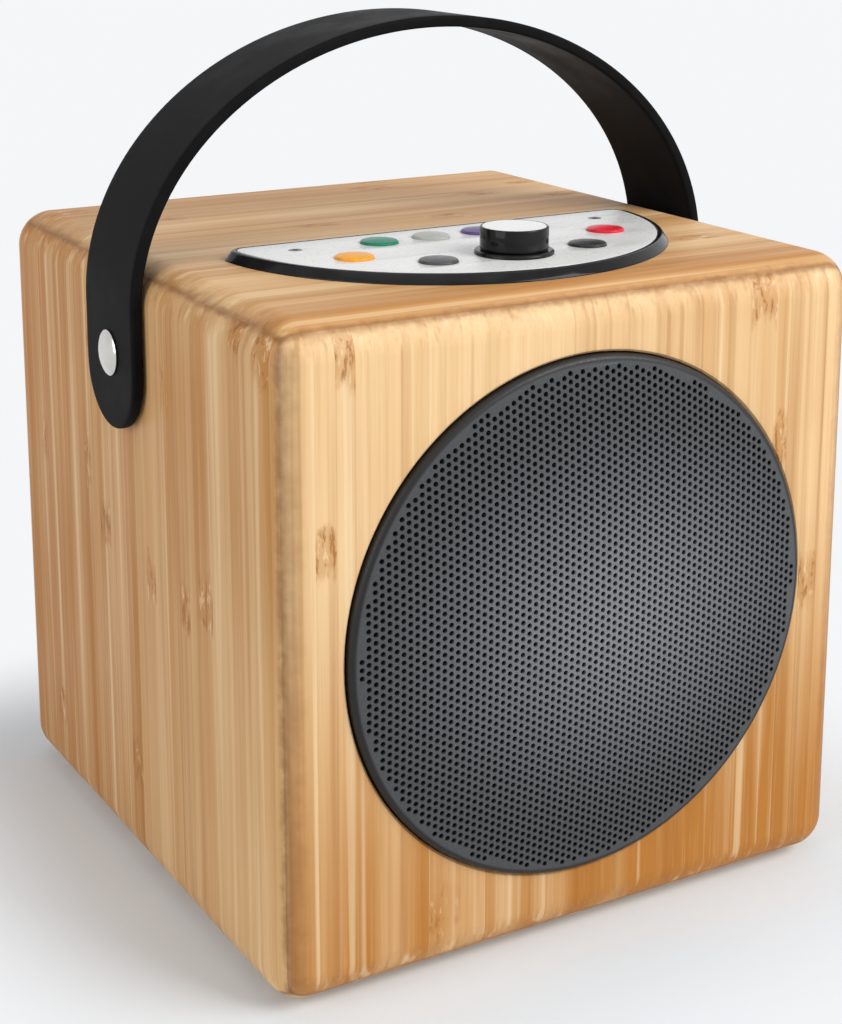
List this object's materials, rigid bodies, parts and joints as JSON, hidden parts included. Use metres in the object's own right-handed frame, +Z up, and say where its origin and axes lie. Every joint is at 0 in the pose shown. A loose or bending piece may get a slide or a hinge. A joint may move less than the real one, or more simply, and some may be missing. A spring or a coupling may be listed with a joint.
{
  "type": "portable speaker for children",
  "caption": "Round-edged bamboo cube speaker with a domed perforated front grille, a half-round button panel with a volume knob on top, and a swinging strap handle.",
  "frame": {"origin": "on the table, under the middle of the box with its grille, level with the underside of the rubber feet", "axes": "+X to the right and +Y to the back as seen from the front, +Z up; the grille faces -Y"},
  "size_m": [0.1818, 0.1808, 0.2295],
  "materials": {
    "bamboo": "satin lacquered bamboo",
    "bamboo_side": "satin lacquered bamboo, darker",
    "cleat_wood": "sawn softwood",
    "foam": "closed-cell foam",
    "dark_steel": "black coated steel",
    "zinc_steel": "zinc-plated steel",
    "foot_rubber": "matte",
    "grille_metal": "satin dark grey, perforated",
    "grille_cloth": "thin acoustic cloth",
    "tag_brass": "tinned brass tags on a card strip",
    "surround_rubber": "soft, matte",
    "cone_plastic": "light coated cone",
    "coil_wire": "enamelled winding on a thin tube",
    "spider_cloth": "stiffened woven cloth",
    "ferrite": "ferrite ceramic",
    "strap_leather": "black, smooth, slightly waxed",
    "bolt_chrome": "polished dome",
    "black_plastic": "moulded",
    "rim_plastic": "gloss black",
    "plate_silver": "fine satin",
    "board_green": "solder-masked laminate",
    "chip_plastic": "mixed parts on the board",
    "encoder_metal": "stamped housing",
    "cell_wrap": "steel cell in a shrink sleeve",
    "slider_white": "moulded",
    "wire_jacket": "insulated wire",
    "button_orange": "soft gloss",
    "button_green": "soft gloss",
    "button_light_grey": "soft gloss",
    "button_dark_grey": "soft gloss",
    "button_purple": "soft gloss",
    "button_blue": "soft gloss",
    "button_red": "soft gloss",
    "button_black": "soft gloss"
  },
  "bodies": {
    "cabinet": {"front_panel": "bamboo", "back_panel": "bamboo_side", "left_panel": "bamboo_side", "right_panel": "bamboo_side", "top_panel": "bamboo", "bottom_panel": "bamboo_side", "back_cleats": "cleat_wood", "back_seal": "foam", "back_screws": "dark_steel", "feet": "foot_rubber", "foot_screws": "zinc_steel", "grille": "grille_metal", "grille_cloth": "grille_cloth", "driver_gasket": "foam", "driver_basket": "dark_steel", "driver_screws": "zinc_steel", "driver_terminals": "tag_brass", "surround": "surround_rubber", "spider": "spider_cloth", "magnet_top_plate": "zinc_steel", "magnet": "ferrite", "magnet_back_plate": "zinc_steel", "handle_bolts": "bolt_chrome", "handle_spacers": "black_plastic", "handle_nuts": "zinc_steel", "control_tray": "rim_plastic", "face_plate": "plate_silver", "plate_screws": "dark_steel", "control_board": "board_green", "button_switches": "black_plastic", "volume_encoder": "encoder_metal", "encoder_nut": "zinc_steel", "knob_collar": "rim_plastic", "main_board": "board_green", "board_parts": "chip_plastic", "battery_holder": "black_plastic", "battery_cells": "cell_wrap", "rear_plate": "black_plastic", "rear_plate_screws": "dark_steel", "rear_board": "board_green", "charge_socket": "zinc_steel", "audio_socket": "black_plastic", "power_switch": "black_plastic", "inner_wires": "wire_jacket"},
    "handle": {"handle_strap": "strap_leather"},
    "volume_knob": {"knob": "rim_plastic", "knob_cap": "plate_silver", "encoder_shaft": "zinc_steel"},
    "cone": {"cone": "cone_plastic", "dust_cap": "cone_plastic", "voice_coil": "coil_wire"},
    "power_slider": {"power_slider": "slider_white"},
    "button_orange": {"button_orange": "button_orange"},
    "button_green": {"button_green": "button_green"},
    "button_light_grey": {"button_light_grey": "button_light_grey"},
    "button_dark_grey": {"button_dark_grey": "button_dark_grey"},
    "button_purple": {"button_purple": "button_purple"},
    "button_blue": {"button_blue": "button_blue"},
    "button_red": {"button_red": "button_red"},
    "button_black": {"button_black": "button_black"}
  },
  "joints": [
    {"name": "handle_swing", "type": "hinge", "parent": "cabinet", "child": "handle", "pos_m": [0, 0.0024, 0.146], "axis": [1, 0, 0], "range_deg": [-16, 16]},
    {"name": "volume_turn", "type": "hinge", "parent": "cabinet", "child": "volume_knob", "pos_m": [0, -0.0511, 0.18], "axis": [0, 0, 1], "continuous": true},
    {"name": "cone_travel", "type": "slide", "parent": "cabinet", "child": "cone", "axis": [0, 1, 0], "range_m": [-0.0025, 0.0025], "stiffness_N_per_m": 800, "deforming": ["surround", "spider"]},
    {"name": "power_slide", "type": "slide", "parent": "cabinet", "child": "power_slider", "axis": [-1, 0, 0], "range_m": [0, 0.004]},
    {"name": "press_orange", "type": "slide", "parent": "cabinet", "child": "button_orange", "axis": [0, 0, -1], "range_m": [0, 0.0006], "stiffness_N_per_m": 1200},
    {"name": "press_green", "type": "slide", "parent": "cabinet", "child": "button_green", "axis": [0, 0, -1], "range_m": [0, 0.0006], "stiffness_N_per_m": 1200},
    {"name": "press_light_grey", "type": "slide", "parent": "cabinet", "child": "button_light_grey", "axis": [0, 0, -1], "range_m": [0, 0.0006], "stiffness_N_per_m": 1200},
    {"name": "press_dark_grey", "type": "slide", "parent": "cabinet", "child": "button_dark_grey", "axis": [0, 0, -1], "range_m": [0, 0.0006], "stiffness_N_per_m": 1200},
    {"name": "press_purple", "type": "slide", "parent": "cabinet", "child": "button_purple", "axis": [0, 0, -1], "range_m": [0, 0.0006], "stiffness_N_per_m": 1200},
    {"name": "press_blue", "type": "slide", "parent": "cabinet", "child": "button_blue", "axis": [0, 0, -1], "range_m": [0, 0.0006], "stiffness_N_per_m": 1200},
    {"name": "press_red", "type": "slide", "parent": "cabinet", "child": "button_red", "axis": [0, 0, -1], "range_m": [0, 0.0006], "stiffness_N_per_m": 1200},
    {"name": "press_black", "type": "slide", "parent": "cabinet", "child": "button_black", "axis": [0, 0, -1], "range_m": [0, 0.0006], "stiffness_N_per_m": 1200}
  ]
}
